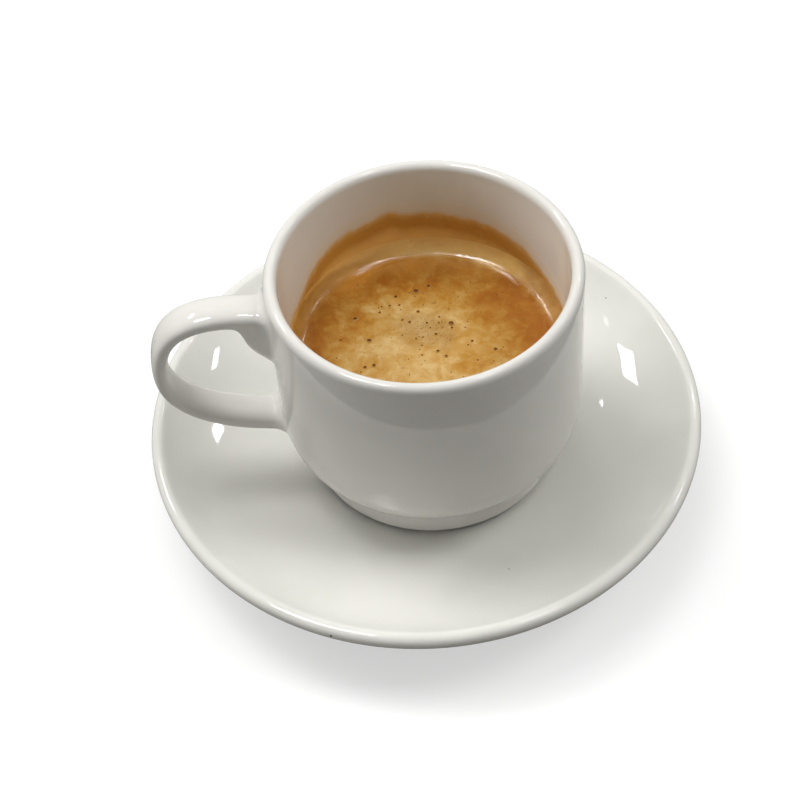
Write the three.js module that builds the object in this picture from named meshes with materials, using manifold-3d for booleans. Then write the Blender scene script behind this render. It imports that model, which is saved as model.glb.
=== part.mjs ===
// A shot of espresso in a thick-walled porcelain cup on its saucer, at real size in mm, +Z up.
// The origin is the middle of the saucer's foot. The cup's handle points along -X.
import * as THREE from 'three';
import Module from 'manifold-3d';

const wasm = await Module();
wasm.setup();

// Driving dimensions
const SAUCER_DIAMETER = 120;
const SAUCER_LIP_CENTRE_Z = 15.6;
const SAUCER_LIP_RADIUS = 1.7;
const SAUCER_THICKNESS = 4.2;
const WELL_Z = 7.2;
const WELL_RADIUS = 27;
const DISH_RISE = [[40, 7.4], [50.5, 11]];
const UNDERSIDE_RISE = [[52, 8.6], [44, 3.7]];
const SAUCER_FOOT_OUTER = 34.5;
const SAUCER_FOOT_INNER = 31;
const SAUCER_FOOT_HEIGHT = 3.2;
const SAUCER_FOOT_ROUNDING = 0.7;

const CUP_OFFSET = { x: 1.8, y: -0.1 };
const CUP_HEIGHT = 53.4;
const RIM_RADIUS = 32.25;
const BODY_RADIUS = 32.45;
const BODY_WAIST_Z = 36;
const WALL_AT_RIM = 2.8;
const RIM_DOME_HEIGHT = 1.6;
const INNER_NARROWING = 0.022;
const INNER_TURN_Z = 18;
const SHOULDER_TOP_Z = 17;
const SHOULDER_CURVE = [[30, 9.2], [32.5, 11.7]];
const CUP_FOOT_RADIUS = 27;
const CUP_FOOT_WIDTH = 2.8;
const CUP_FOOT_HEIGHT = 5.7;
const CUP_FOOT_ROUNDING = 0.85;
const CUP_FOOT_RECESS = 2.2;
const CUP_FLOOR_Z = 5.2;
const CUP_FLOOR_RADIUS = 14;
const FLOOR_CURVE_RADIUS = 23;

const CREMA_LEVEL = 29.7;
const CREMA_THICKNESS = 2.7;
const CREMA_FLAT_RADIUS = 26.2;
const COLLAR_HEIGHT = 3.1;
const COLLAR_EDGE = 0.35;

const HANDLE_REACH = 57.4;
const HANDLE_WIDTH = 8.05;
const HANDLE_APEX_Z = 33.7;
const HANDLE_SQUARENESS = 2.5;
const STRAP_THICKNESS = { upper: 4.5, apex: 3.5, lower: 4.9 };
const UPPER_ROOT = { z: 46.4, slope: 0.3, reach: 16.2, turn: 13.2 };
const LOWER_ROOT = { z: 15.0, slope: 0.13, reach: 12.0, turn: 10.6 };

// How the strap spreads where it meets the cup: the underside's line as points (distance from the
// wall, drop), and the radii of the fillets above it and at its sides.
const UPPER_JOINT = {
  underside: [[7.5, 0], [3.2, 0.3], [4.6, 10], [0, 11]],
  above: 3.4,
  side: 3.2,
  rings: [0, 0.15, 0.3, 0.42, 0.54, 0.66, 0.76, 0.85, 0.92, 0.97, 1],
};
const LOWER_JOINT = {
  underside: [[2.6, 0], [1.2, 0], [0.2, 0.3], [-1, 1.5]],
  above: 2.2,
  side: 2.6,
  rings: [0, 0.25, 0.5, 0.75, 1],
};
const JOINT_SINK = 1.3;
const JOINT_TURN = 5;

const CLEARANCE = 0.3;
const CUP_SEGMENTS = 64;
const SAUCER_SEGMENTS = 64;
const DRINK_SEGMENTS = 48;
const STRAP_STEPS = 11;
const SECTION_POINTS = 20;

const CUP_BASE_Z = WELL_Z + CLEARANCE;

// Materials, with the colours of the photograph
const PORCELAIN = new THREE.MeshStandardMaterial({ color: '#dcdad3', roughness: 0.12, metalness: 0 });
const SAUCER_PORCELAIN = new THREE.MeshStandardMaterial({ color: '#dddcd4', roughness: 0.12, metalness: 0 });
const CREMA_FOAM = new THREE.MeshStandardMaterial({ color: '#b8803f', roughness: 0.45, metalness: 0 });
const COFFEE = new THREE.MeshStandardMaterial({ color: '#2b1408', roughness: 0.15, metalness: 0 });

// Plane curves

function bezier(points, t) {
  const s = 1 - t;
  const weights = [s * s * s, 3 * s * s * t, 3 * s * t * t, t * t * t];
  return [0, 1].map((axis) => points.reduce((sum, p, i) => sum + weights[i] * p[axis], 0));
}

function bezierPoints(points, steps) {
  return Array.from({ length: steps + 1 }, (_, i) => bezier(points, i / steps));
}

// Points on an elliptic arc about a centre, angles in degrees, both ends included
function arc([x, z], [rx, rz], from, to, steps) {
  return Array.from({ length: steps + 1 }, (_, i) => {
    const angle = THREE.MathUtils.degToRad(from + ((to - from) * i) / steps);
    return [x + rx * Math.cos(angle), z + rz * Math.sin(angle)];
  });
}

// Drops a point that repeats the one before it
function withoutRepeats(profile) {
  const apart = 1e-6;
  return profile.filter((p, i) => i === 0 || Math.hypot(p[0] - profile[i - 1][0], p[1] - profile[i - 1][1]) > apart);
}

// Solids

// Revolves a profile of [radius, z] points, which starts and ends on the axis, about +Z
function revolve(profile, segments) {
  const points = withoutRepeats(profile).map(([r, z]) => new THREE.Vector2(Math.max(r, 0), z));
  const geometry = new THREE.LatheGeometry(points, segments);
  geometry.rotateX(Math.PI / 2);
  return solidOf(geometry);
}

// A closed solid from a geometry: corners merged by place, and faces turned outwards
function solidOf(geometry) {
  const grid = 1e-5;
  const place = geometry.getAttribute('position');
  const indexOfKey = new Map();
  const corners = [];
  const cornerOf = [];
  for (let i = 0; i < place.count; i += 1) {
    const p = [place.getX(i), place.getY(i), place.getZ(i)];
    const key = p.map((v) => Math.round(v / grid)).join(',');
    if (!indexOfKey.has(key)) {
      indexOfKey.set(key, corners.length / 3);
      corners.push(...p);
    }
    cornerOf.push(indexOfKey.get(key));
  }
  const order = geometry.index ? Array.from(geometry.index.array) : Array.from({ length: place.count }, (_, i) => i);
  const triangles = [];
  for (let i = 0; i < order.length; i += 3) {
    const [a, b, c] = [cornerOf[order[i]], cornerOf[order[i + 1]], cornerOf[order[i + 2]]];
    if (a !== b && b !== c && a !== c) {
      triangles.push(a, b, c);
    }
  }
  if (signedVolume(corners, triangles) < 0) {
    for (let i = 0; i < triangles.length; i += 3) {
      [triangles[i + 1], triangles[i + 2]] = [triangles[i + 2], triangles[i + 1]];
    }
  }
  return new wasm.Manifold(new wasm.Mesh({
    numProp: 3,
    vertProperties: new Float32Array(corners),
    triVerts: new Uint32Array(triangles),
  }));
}

function signedVolume(corners, triangles) {
  const [a, b, c] = [new THREE.Vector3(), new THREE.Vector3(), new THREE.Vector3()];
  let volume = 0;
  for (let i = 0; i < triangles.length; i += 3) {
    a.fromArray(corners, triangles[i] * 3);
    b.fromArray(corners, triangles[i + 1] * 3);
    c.fromArray(corners, triangles[i + 2] * 3);
    volume += a.dot(b.cross(c)) / 6;
  }
  return volume;
}

function meshOf(name, solid, material, offset) {
  const made = solid.getMesh();
  const geometry = new THREE.BufferGeometry();
  geometry.setAttribute('position', new THREE.BufferAttribute(new Float32Array(made.vertProperties), 3));
  geometry.setIndex(Array.from(made.triVerts));
  geometry.translate(offset.x, offset.y, offset.z);
  geometry.computeVertexNormals();
  const mesh = new THREE.Mesh(geometry, material);
  mesh.name = name;
  return mesh;
}

// The saucer: a shallow dish with a rolled lip on a low foot ring

function saucerProfile() {
  const lipX = SAUCER_DIAMETER / 2 - SAUCER_LIP_RADIUS;
  const lip = arc([lipX, SAUCER_LIP_CENTRE_Z], [SAUCER_LIP_RADIUS, SAUCER_LIP_RADIUS], 120, -80, 10);
  const [lipStart] = lip;
  const lipEnd = lip[lip.length - 1];
  const dish = bezierPoints([[WELL_RADIUS, WELL_Z], ...DISH_RISE, lipStart], 10);
  const footRoot = [SAUCER_FOOT_OUTER + SAUCER_FOOT_ROUNDING, SAUCER_FOOT_HEIGHT];
  const under = bezierPoints([lipEnd, ...UNDERSIDE_RISE, footRoot], 7);
  const round = SAUCER_FOOT_ROUNDING;
  const ceiling = WELL_Z - SAUCER_THICKNESS;
  return [
    [0, WELL_Z],
    ...dish,
    ...lip,
    ...under,
    ...arc([SAUCER_FOOT_OUTER - round, round], [round, round], 0, -90, 3),
    ...arc([SAUCER_FOOT_INNER + round, round], [round, round], -90, -180, 3),
    [SAUCER_FOOT_INNER - round / 2, ceiling],
    [0, ceiling],
  ];
}

// The cup, in heights above its own foot

// The radius of the cup's inner wall at a height
function innerRadius(z) {
  return RIM_RADIUS - WALL_AT_RIM - (CUP_HEIGHT - RIM_DOME_HEIGHT - z) * INNER_NARROWING;
}

// The line from the inner wall round to the middle of the floor, drawn in by an inset
function floorPoints(inset, steps) {
  const wall = innerRadius(INNER_TURN_Z) - inset;
  const floor = CUP_FLOOR_Z + inset;
  return [
    ...bezierPoints([
      [wall, INNER_TURN_Z],
      [wall, (INNER_TURN_Z + floor) / 2 - 2],
      [FLOOR_CURVE_RADIUS - inset, floor],
      [CUP_FLOOR_RADIUS, floor],
    ], steps),
    [0, floor],
  ];
}

function cupProfile() {
  const footInner = CUP_FOOT_RADIUS - CUP_FOOT_WIDTH;
  const halfWall = WALL_AT_RIM / 2;
  const round = CUP_FOOT_ROUNDING;
  return [
    [0, CUP_FOOT_RECESS],
    [footInner - CUP_FOOT_RECESS, CUP_FOOT_RECESS],
    ...arc([footInner + round, round], [round, round], 180, 270, 2),
    ...arc([CUP_FOOT_RADIUS - round, round], [round, round], -90, 0, 3),
    ...bezierPoints([[CUP_FOOT_RADIUS, CUP_FOOT_HEIGHT], ...SHOULDER_CURVE, [BODY_RADIUS, SHOULDER_TOP_Z]], 9),
    [(BODY_RADIUS + RIM_RADIUS) / 2, BODY_WAIST_Z],
    ...arc([RIM_RADIUS - halfWall, CUP_HEIGHT - RIM_DOME_HEIGHT], [halfWall, RIM_DOME_HEIGHT], 0, 180, 8),
    ...floorPoints(0, 8),
  ];
}

// The handle: a flat strap swept along its centre line, spreading where it meets the cup

function centreLine() {
  const apex = [HANDLE_REACH - STRAP_THICKNESS.apex / 2, HANDLE_APEX_Z];
  const start = BODY_RADIUS - 1;
  const upper = [
    [start, UPPER_ROOT.z],
    [start + UPPER_ROOT.reach, UPPER_ROOT.z + UPPER_ROOT.reach * UPPER_ROOT.slope],
    [apex[0], apex[1] + UPPER_ROOT.turn],
    apex,
  ];
  const lower = [
    apex,
    [apex[0], apex[1] - LOWER_ROOT.turn],
    [start + LOWER_ROOT.reach, LOWER_ROOT.z + LOWER_ROOT.reach * LOWER_ROOT.slope],
    [start, LOWER_ROOT.z],
  ];
  return { upper, lower };
}

// The place, outward normal and thickness of the strap: s is 0 at the upper root, 1 at the apex, 2 at the lower root
function strapAt(s) {
  const lines = centreLine();
  const at = (value) => (value <= 1 ? bezier(lines.upper, value) : bezier(lines.lower, value - 1));
  const step = 1e-3;
  const [before, after] = [at(Math.max(s - step, 0)), at(Math.min(s + step, 2))];
  const along = new THREE.Vector2(after[0] - before[0], after[1] - before[1]).normalize();
  const end = s <= 1 ? STRAP_THICKNESS.upper : STRAP_THICKNESS.lower;
  const share = (1 - Math.cos(Math.PI * Math.abs(s - 1))) / 2;
  return {
    place: new THREE.Vector2(...at(s)),
    outward: new THREE.Vector2(-along.y, along.x),
    thickness: THREE.MathUtils.lerp(STRAP_THICKNESS.apex, end, share),
  };
}

// The strap's parameter where its centre line is at a radius from the cup's axis, near one of the roots
function parameterAtRadius(radius, root) {
  let [near, far] = root === 'upper' ? [0, 0.8] : [2, 1.2];
  for (let i = 0; i < 40; i += 1) {
    const middle = (near + far) / 2;
    if (strapAt(middle).place.x < radius) {
      near = middle;
    } else {
      far = middle;
    }
  }
  return (near + far) / 2;
}

// How far a fillet of that radius has spread at a distance from the wall, with all of it at the wall
function spread(radius, distance) {
  const inside = THREE.MathUtils.clamp(radius - distance, 0, radius);
  return radius - Math.sqrt(radius * radius - inside * inside);
}

// One closed section: a rounded oblong with its own height above and below the centre line
function section({ place, up, halfUp, halfDown, halfSide, wrap }) {
  const points = [];
  for (let i = 0; i < SECTION_POINTS; i += 1) {
    const angle = (2 * Math.PI * i) / SECTION_POINTS;
    const power = 2 / HANDLE_SQUARENESS;
    const across = Math.sign(Math.cos(angle)) * Math.abs(Math.cos(angle)) ** power * halfSide;
    const height = Math.sign(Math.sin(angle)) * Math.abs(Math.sin(angle)) ** power;
    const rise = height * (height > 0 ? halfUp : halfDown);
    const radius = place.x + up.x * rise;
    const wrapped = Math.sqrt(radius * radius - across * across);
    const out = THREE.MathUtils.lerp(radius, wrapped, wrap);
    points.push(new THREE.Vector3(-out, across, place.y + up.y * rise));
  }
  return points;
}

function strapSection(s) {
  const { place, outward, thickness } = strapAt(s);
  const half = thickness / 2;
  return section({ place, up: outward, halfUp: half, halfDown: half, halfSide: HANDLE_WIDTH / 2, wrap: 0 });
}

// A section of a joint at parameter t of its underside's line. On the upper root, outward is up; on
// the lower root it is down, so the two heights change places there.
function jointSection(joint, root, t, sink) {
  const [distance, drop] = bezier(joint.underside, t);
  const radius = BODY_RADIUS + distance;
  const { outward, thickness, place } = strapAt(parameterAtRadius(radius, root));
  const turn = THREE.MathUtils.smoothstep(JOINT_TURN - distance, 0, JOINT_TURN);
  const upright = new THREE.Vector2(0, root === 'upper' ? 1 : -1);
  const up = outward.clone().lerp(upright, turn).normalize();
  const above = thickness / 2 + spread(joint.above, distance);
  const below = thickness / 2 + drop;
  return section({
    place: new THREE.Vector2(place.x - sink, place.y),
    up,
    halfUp: root === 'upper' ? above : below,
    halfDown: root === 'upper' ? below : above,
    halfSide: HANDLE_WIDTH / 2 + spread(joint.side, distance),
    wrap: turn,
  });
}

function handleSections() {
  const upperRings = UPPER_JOINT.rings.map((t) => jointSection(UPPER_JOINT, 'upper', t, 0)).reverse();
  const lowerRings = LOWER_JOINT.rings.map((t) => jointSection(LOWER_JOINT, 'lower', t, 0));
  const from = parameterAtRadius(BODY_RADIUS + UPPER_JOINT.underside[0][0], 'upper');
  const to = parameterAtRadius(BODY_RADIUS + LOWER_JOINT.underside[0][0], 'lower');
  const strap = [];
  for (let i = 1; i < 2 * STRAP_STEPS; i += 1) {
    strap.push(strapSection(from + ((to - from) * i) / (2 * STRAP_STEPS)));
  }
  return [
    jointSection(UPPER_JOINT, 'upper', 1, JOINT_SINK),
    ...upperRings,
    ...strap,
    ...lowerRings,
    jointSection(LOWER_JOINT, 'lower', 1, JOINT_SINK),
  ];
}

// Skins a list of closed sections, with a fan over each end
function skin(sections) {
  const count = sections[0].length;
  const places = sections.flat().flatMap((p) => p.toArray());
  const triangles = [];
  for (let i = 0; i < sections.length - 1; i += 1) {
    for (let j = 0; j < count; j += 1) {
      const a = i * count + j;
      const b = i * count + ((j + 1) % count);
      triangles.push(a, b, b + count, a, b + count, a + count);
    }
  }
  const last = (sections.length - 1) * count;
  for (let j = 1; j < count - 1; j += 1) {
    triangles.push(0, j + 1, j, last, last + j, last + j + 1);
  }
  const geometry = new THREE.BufferGeometry();
  geometry.setAttribute('position', new THREE.BufferAttribute(new Float32Array(places), 3));
  geometry.setIndex(triangles);
  return solidOf(geometry);
}

// The drink: the coffee below and the foam that floats on it, both clear of the wall

function espressoProfile() {
  const top = CREMA_LEVEL - CREMA_THICKNESS - CLEARANCE;
  return [
    [0, top],
    [innerRadius(top) - CLEARANCE, top],
    ...floorPoints(CLEARANCE, 7),
  ];
}

function cremaProfile() {
  const bottom = CREMA_LEVEL - CREMA_THICKNESS;
  const top = CREMA_LEVEL + COLLAR_HEIGHT;
  const side = (z) => innerRadius(z) - CLEARANCE;
  const edge = side(top) - COLLAR_EDGE;
  const collar = [
    [edge, top],
    [edge, CREMA_LEVEL + COLLAR_HEIGHT / 3],
    [CREMA_FLAT_RADIUS + 1, CREMA_LEVEL],
    [CREMA_FLAT_RADIUS - 1, CREMA_LEVEL],
  ];
  return [
    [0, bottom],
    [side(bottom), bottom],
    [side(top), top],
    ...bezierPoints(collar, 5),
    [0, CREMA_LEVEL],
  ];
}

// The object

function build() {
  const inCup = { ...CUP_OFFSET, z: CUP_BASE_Z };
  const cup = revolve(cupProfile(), CUP_SEGMENTS).add(skin(handleSections()));
  const object = new THREE.Group();
  object.name = 'espresso_shot';
  object.add(meshOf('cup', cup, PORCELAIN, inCup));
  object.add(meshOf('saucer', revolve(saucerProfile(), SAUCER_SEGMENTS), SAUCER_PORCELAIN, { x: 0, y: 0, z: 0 }));
  object.add(meshOf('espresso', revolve(espressoProfile(), DRINK_SEGMENTS), COFFEE, inCup));
  object.add(meshOf('crema', revolve(cremaProfile(), DRINK_SEGMENTS), CREMA_FOAM, inCup));
  return object;
}

export default build();
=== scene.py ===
"""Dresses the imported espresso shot: a white porcelain cup on its saucer, and coffee under a marbled crema.

The frame is the CAD part's: +Z up, the origin in the middle of the saucer's foot, and the cup's handle
pointing along -X. Sizes in the classes are in millimetres, and meshes are made in metres. Heights of the
cup and of the drink are above the cup's own foot.
"""

import logging
import math
from dataclasses import dataclass, field
from enum import Enum
from typing import Any, Sequence

import bmesh
import bpy
import numpy as np
from mathutils import Matrix, Vector


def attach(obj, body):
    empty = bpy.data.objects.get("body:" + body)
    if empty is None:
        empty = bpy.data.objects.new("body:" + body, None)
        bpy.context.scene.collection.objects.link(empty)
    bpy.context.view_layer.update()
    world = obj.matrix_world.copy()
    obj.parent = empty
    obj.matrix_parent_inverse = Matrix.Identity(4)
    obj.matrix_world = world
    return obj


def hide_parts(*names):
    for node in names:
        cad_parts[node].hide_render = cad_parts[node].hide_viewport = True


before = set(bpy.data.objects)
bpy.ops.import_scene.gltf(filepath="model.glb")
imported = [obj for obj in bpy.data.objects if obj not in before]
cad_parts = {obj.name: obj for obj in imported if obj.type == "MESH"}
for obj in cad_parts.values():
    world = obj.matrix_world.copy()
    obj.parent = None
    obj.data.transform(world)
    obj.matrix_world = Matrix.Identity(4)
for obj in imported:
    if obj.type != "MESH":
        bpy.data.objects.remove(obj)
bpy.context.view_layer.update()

Pair = tuple[float, float]
Triple = tuple[float, float, float]
Colour = tuple[float, float, float, float]

MM = 0.001
MERGE_DISTANCE = 1e-6
HALVINGS = 40
FLAT = (1.0, 1.0, 0.0)
MIDDLE = (0.5, 0.5, 0.5)
log = logging.getLogger("espresso_shot")


class Slot(Enum):
    """The record's material slots."""

    CUP = "cup_porcelain"
    SAUCER = "saucer_porcelain"
    COFFEE = "coffee"
    CREMA = "crema_foam"


def tint(red: int, green: int, blue: int) -> Colour:
    """Turns a screen colour, each part from 0 to 255, into the linear colour that a shader takes."""
    parts = [value / 255 for value in (red, green, blue)]
    return (*(p / 12.92 if p <= 0.04045 else ((p + 0.055) / 1.055) ** 2.4 for p in parts), 1.0)


def metres(*values: float) -> tuple[float, ...]:
    """Turns millimetres into metres."""
    return tuple(value * MM for value in values)


def bezier(points: Sequence[Pair], t: float) -> Pair:
    """Finds a point on a cubic curve.

    Args:
        points: The curve's four control points.
        t: The place along the curve, from 0 to 1.

    Returns:
        The point.
    """
    s = 1 - t
    weights = (s * s * s, 3 * s * s * t, 3 * s * t * t, t * t * t)
    return (sum(w * p[0] for w, p in zip(weights, points)), sum(w * p[1] for w, p in zip(weights, points)))


def bezier_run(points: Sequence[Pair], steps: int) -> list[Pair]:
    """Lists points along a cubic curve at even steps, both ends included."""
    return [bezier(points, i / steps) for i in range(steps + 1)]


def arc(centre: Pair, radii: Pair, start: float, stop: float, steps: int) -> list[Pair]:
    """Lists points on an elliptic arc between two angles in degrees, both ends included."""
    angles = [math.radians(start + (stop - start) * i / steps) for i in range(steps + 1)]
    return [(centre[0] + radii[0] * math.cos(a), centre[1] + radii[1] * math.sin(a)) for a in angles]


def straight(start: Pair, stop: Pair, steps: int) -> list[Pair]:
    """Lists points on a straight line at even steps, both ends included."""
    return [tuple(np.array(start) + (np.array(stop) - np.array(start)) * i / steps) for i in range(steps + 1)]


def lerp(low: float, high: float, share: float) -> float:
    """Blends two numbers."""
    return low + (high - low) * share


def smooth(value: float) -> float:
    """Eases a value from 0 to 1, and holds it beyond both."""
    held = min(max(value, 0.0), 1.0)
    return held * held * (3 - 2 * held)


class Wire:
    """A node's output. Arithmetic on it adds Math nodes."""

    def __init__(self, make: "TreeMaker", socket: bpy.types.NodeSocket) -> None:
        """Takes the tree's maker and the output."""
        self.make, self.socket = make, socket

    def __add__(self, other: Any) -> "Wire":
        """Adds a number or a wire."""
        return self.make.math("ADD", self, other)

    def __sub__(self, other: Any) -> "Wire":
        """Takes off a number or a wire."""
        return self.make.math("SUBTRACT", self, other)

    def __mul__(self, other: Any) -> "Wire":
        """Multiplies by a number or a wire."""
        return self.make.math("MULTIPLY", self, other)

    def __truediv__(self, other: Any) -> "Wire":
        """Divides by a number or a wire."""
        return self.make.math("DIVIDE", self, other)


class TreeMaker:
    """Adds nodes to one tree and links them with short calls."""

    def __init__(self, tree: bpy.types.NodeTree) -> None:
        """Takes the tree that the nodes go into, and empties it."""
        self.tree = tree
        tree.nodes.clear()

    def add(self, kind: str, inputs: dict[Any, Any] | None = None, **settings: Any) -> bpy.types.Node:
        """Adds a node.

        Args:
            kind: The node's type.
            inputs: For an input's name or number, the wire that feeds it or its plain value.
            **settings: The node's own properties.

        Returns:
            The node.
        """
        node = self.tree.nodes.new(kind)
        for name, value in settings.items():
            setattr(node, name, value)
        for key, value in (inputs or {}).items():
            socket = next(s for i, s in enumerate(node.inputs) if key == i or (key == s.name and s.enabled))
            if isinstance(value, Wire):
                self.tree.links.new(value.socket, socket)
            else:
                socket.default_value = value
        return node

    def get(self, kind: str, inputs: dict[Any, Any] | None = None, output: Any = None, **settings: Any) -> Wire:
        """Adds a node and gives one output, by name or number, or else the first in use."""
        outputs = self.add(kind, inputs, **settings).outputs
        return Wire(self, next(s for s in outputs if s.enabled) if output is None else outputs[output])

    def named(self, kind: str, inputs: dict[Any, Any] | None = None, **settings: Any) -> dict[str, Wire]:
        """Adds a node and gives all its outputs by name."""
        return {s.name: Wire(self, s) for s in self.add(kind, inputs, **settings).outputs}

    def math(self, operation: str, *values: Any, clamp: bool = False) -> Wire:
        """Adds a Math node, whose result may be held between 0 and 1."""
        return self.get("ShaderNodeMath", dict(enumerate(values)), operation=operation, use_clamp=clamp)

    def vector(self, operation: str, *values: Any) -> Wire:
        """Adds a Vector Math node, and gives its value for a length, a distance or a dot product."""
        output = "Value" if operation in ("LENGTH", "DISTANCE", "DOT_PRODUCT") else "Vector"
        return self.get("ShaderNodeVectorMath", dict(enumerate(values)), output, operation=operation)

    def axis(self, vector: Wire, name: str) -> Wire:
        """Gives one part of a vector: X, Y or Z."""
        return self.get("ShaderNodeSeparateXYZ", {"Vector": vector}, name)

    def ease(self, value: Any, low: float, high: float, to_low: float = 0.0, to_high: float = 1.0) -> Wire:
        """Adds a Map Range node that eases smoothly from one end to the other, and holds beyond both."""
        inputs = {"Value": value, "From Min": low, "From Max": high, "To Min": to_low, "To Max": to_high}
        return self.get("ShaderNodeMapRange", inputs, "Result", interpolation_type="SMOOTHSTEP")

    def blend(self, share: Any, low: Any, high: Any) -> Wire:
        """Adds a Mix node for two colours, with the share of the second."""
        return self.get("ShaderNodeMix", {0: share, 6: low, 7: high}, 2, data_type="RGBA")

    def noise(self, vector: Any, scale: Any, detail: float = 3.0, roughness: float = 0.5, warp: float = 0.0,
              output: str = "Fac") -> Wire:
        """Adds a Noise Texture node, with its features in a metre, its octaves, their strength and its warp."""
        inputs = {"Vector": vector, "Scale": scale, "Detail": detail, "Roughness": roughness, "Distortion": warp}
        return self.get("ShaderNodeTexNoise", inputs, output)

    def bump(self, strength: float, distance: float, height: Wire) -> Wire:
        """Adds a Bump node and gives its normal."""
        return self.get("ShaderNodeBump", {"Strength": strength, "Distance": distance, "Height": height})

    def ramp(self, value: Any, *stops: tuple[float, Colour]) -> Wire:
        """Adds a Color Ramp node.

        Args:
            value: What drives the ramp.
            *stops: Its stops, each a place from 0 to 1 and a colour.

        Returns:
            The colour.
        """
        node = self.add("ShaderNodeValToRGB", {"Fac": value})
        elements = node.color_ramp.elements
        while len(elements) < len(stops):
            elements.new(0.5)
        for element, (place, colour) in zip(elements, stops):
            element.position, element.color = place, colour
        return Wire(self, node.outputs["Color"])


def new_group(name: str, kind: str, inputs: dict[str, str], outputs: dict[str, str]) -> bpy.types.NodeTree:
    """Makes an empty node group.

    Args:
        name: Its name.
        kind: The kind of its tree, Shader or Geometry.
        inputs: The kind of socket for each input's name.
        outputs: The same for each output's name.

    Returns:
        The group.
    """
    tree = bpy.data.node_groups.new(name, f"{kind}NodeTree")
    for way, sockets in (("INPUT", inputs), ("OUTPUT", outputs)):
        for label, socket in sockets.items():
            tree.interface.new_socket(name=label, in_out=way, socket_type=f"NodeSocket{socket}")
    return tree


def linked(name: str, data: Any) -> bpy.types.Object:
    """Makes an object for its data and links it into the scene."""
    made = bpy.data.objects.new(name, data)
    bpy.context.scene.collection.objects.link(made)
    return made


def mesh_object(name: str, places: Sequence[Sequence[float]], faces: Sequence[Sequence[int]] = (),
                edges: Sequence[tuple[int, int]] = ()) -> bpy.types.Object:
    """Makes a mesh object.

    Args:
        name: The object's name.
        places: The vertices in millimetres.
        faces: The faces' vertex numbers.
        edges: Loose edges' vertex numbers.

    Returns:
        The object, linked into the scene.
    """
    mesh = bpy.data.meshes.new(name)
    mesh.from_pydata([Vector(p) * MM for p in places], list(edges), list(faces))
    return linked(name, mesh)


def face_outwards(piece: bpy.types.Object) -> None:
    """Merges a piece's doubles, turns all its faces outwards and shades it smooth.

    Args:
        piece: The piece.
    """
    work = bmesh.new()
    work.from_mesh(piece.data)
    bmesh.ops.remove_doubles(work, verts=work.verts, dist=MERGE_DISTANCE)
    bmesh.ops.recalc_face_normals(work, faces=work.faces)
    if work.calc_volume(signed=True) < 0:
        bmesh.ops.reverse_faces(work, faces=work.faces)
    for face in work.faces:
        face.smooth = True
    work.to_mesh(piece.data)
    work.free()


class ShapeTree:
    """What the Geometry Nodes trees share: a sheet that is rolled up, the finished mesh, and running them."""

    def __init__(self, name: str, inputs: dict[str, str]) -> None:
        """Builds the tree.

        Args:
            name: Its name.
            inputs: The kind of socket for each input's name, apart from the geometry and the finish.
        """
        inputs = {"Geometry": "Geometry", **inputs, "Finish": "Material"}
        self.tree = new_group(name, "Geometry", inputs, {"Geometry": "Geometry"})
        self.make = make = TreeMaker(self.tree)
        self.given = make.named("NodeGroupInput")
        real = make.get("GeometryNodeRealizeInstances", {"Geometry": self.shape()})
        rounded = make.get("GeometryNodeSetShadeSmooth", {"Geometry": real, "Shade Smooth": True})
        dressed = make.get("GeometryNodeSetMaterial", {"Geometry": rounded, "Material": self.given["Finish"]})
        make.add("NodeGroupOutput", {"Geometry": dressed})

    def shape(self) -> Wire:
        """Adds the nodes that make the shape."""
        raise NotImplementedError

    def sheet(self, rows: Wire, sides: Wire) -> tuple[Wire, Wire, Wire]:
        """Adds a grid with one column more than the shape has sides.

        Args:
            rows: The number of rows.
            sides: The number of sides.

        Returns:
            The grid, each point's row and its angle round the axis.
        """
        across = sides + 1.0
        inputs = {"Size X": 1.0, "Size Y": 1.0, "Vertices X": rows, "Vertices Y": across}
        index = self.make.get("GeometryNodeInputIndex")
        row = self.make.math("FLOOR", (index + 0.5) / across)
        return self.make.get("GeometryNodeMeshGrid", inputs), row, (index - row * across) / sides * math.tau

    def run(self, source: bpy.types.Object, values: dict[str, Any]) -> bpy.types.Object:
        """Runs the tree on an object and turns the result into its own plain mesh.

        Args:
            source: The object.
            values: A value for each of the tree's inputs, which are set by their identifiers.

        Returns:
            The same object, finished and without modifiers.
        """
        modifier = source.modifiers.new(self.tree.name, "NODES")
        modifier.node_group = self.tree
        for item in self.tree.interface.items_tree:
            if item.in_out == "INPUT" and item.name in values:
                modifier[item.identifier] = values[item.name]
        mesh = bpy.data.meshes.new_from_object(source.evaluated_get(bpy.context.evaluated_depsgraph_get()))
        source.modifiers.clear()
        source.data = mesh
        mesh.name = source.name
        face_outwards(source)
        return source


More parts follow.
